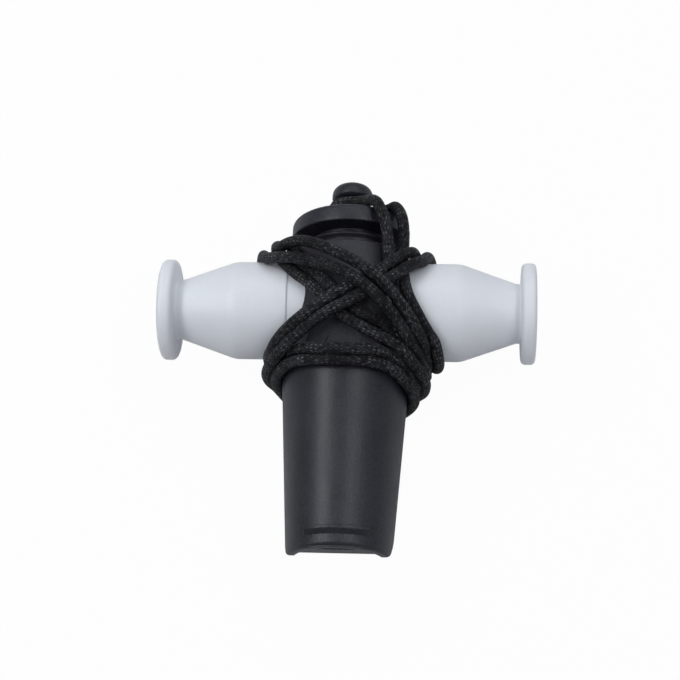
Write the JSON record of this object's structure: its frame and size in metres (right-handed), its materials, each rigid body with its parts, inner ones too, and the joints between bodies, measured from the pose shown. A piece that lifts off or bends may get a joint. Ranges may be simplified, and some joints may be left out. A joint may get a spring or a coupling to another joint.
{
  "type": "samba whistle",
  "caption": "Three-tone samba whistle: black tapered body with a lip window, white side barrels with finger holes, an end stopper with a knob, and a black lanyard wound round it.",
  "frame": {"origin": "middle of the whistle's box without its lanyard, on the body's axis and between the barrels", "axes": "+X along the right barrel, +Y along the body from the mouthpiece to the knob, +Z out of the window; the whistle lies on its back"},
  "size_m": [0.078, 0.0824, 0.0367],
  "materials": {
    "black_plastic": "satin moulded",
    "white_plastic": "satin moulded",
    "black_cord": "braided"
  },
  "bodies": {
    "whistle": {"body_shell": "black_plastic", "windway_block": "black_plastic", "stopper": "black_plastic", "lanyard": "black_cord", "lanyard_knot": "black_cord"},
    "left_barrel": {"left_barrel": "white_plastic"},
    "right_barrel": {"right_barrel": "white_plastic"}
  },
  "joints": [
    {"name": "left_barrel_draw", "type": "slide", "parent": "whistle", "child": "left_barrel", "axis": [-1, 0, 0], "range_m": [0, 0.008]},
    {"name": "right_barrel_draw", "type": "slide", "parent": "whistle", "child": "right_barrel", "axis": [1, 0, 0], "range_m": [0, 0.008]}
  ]
}
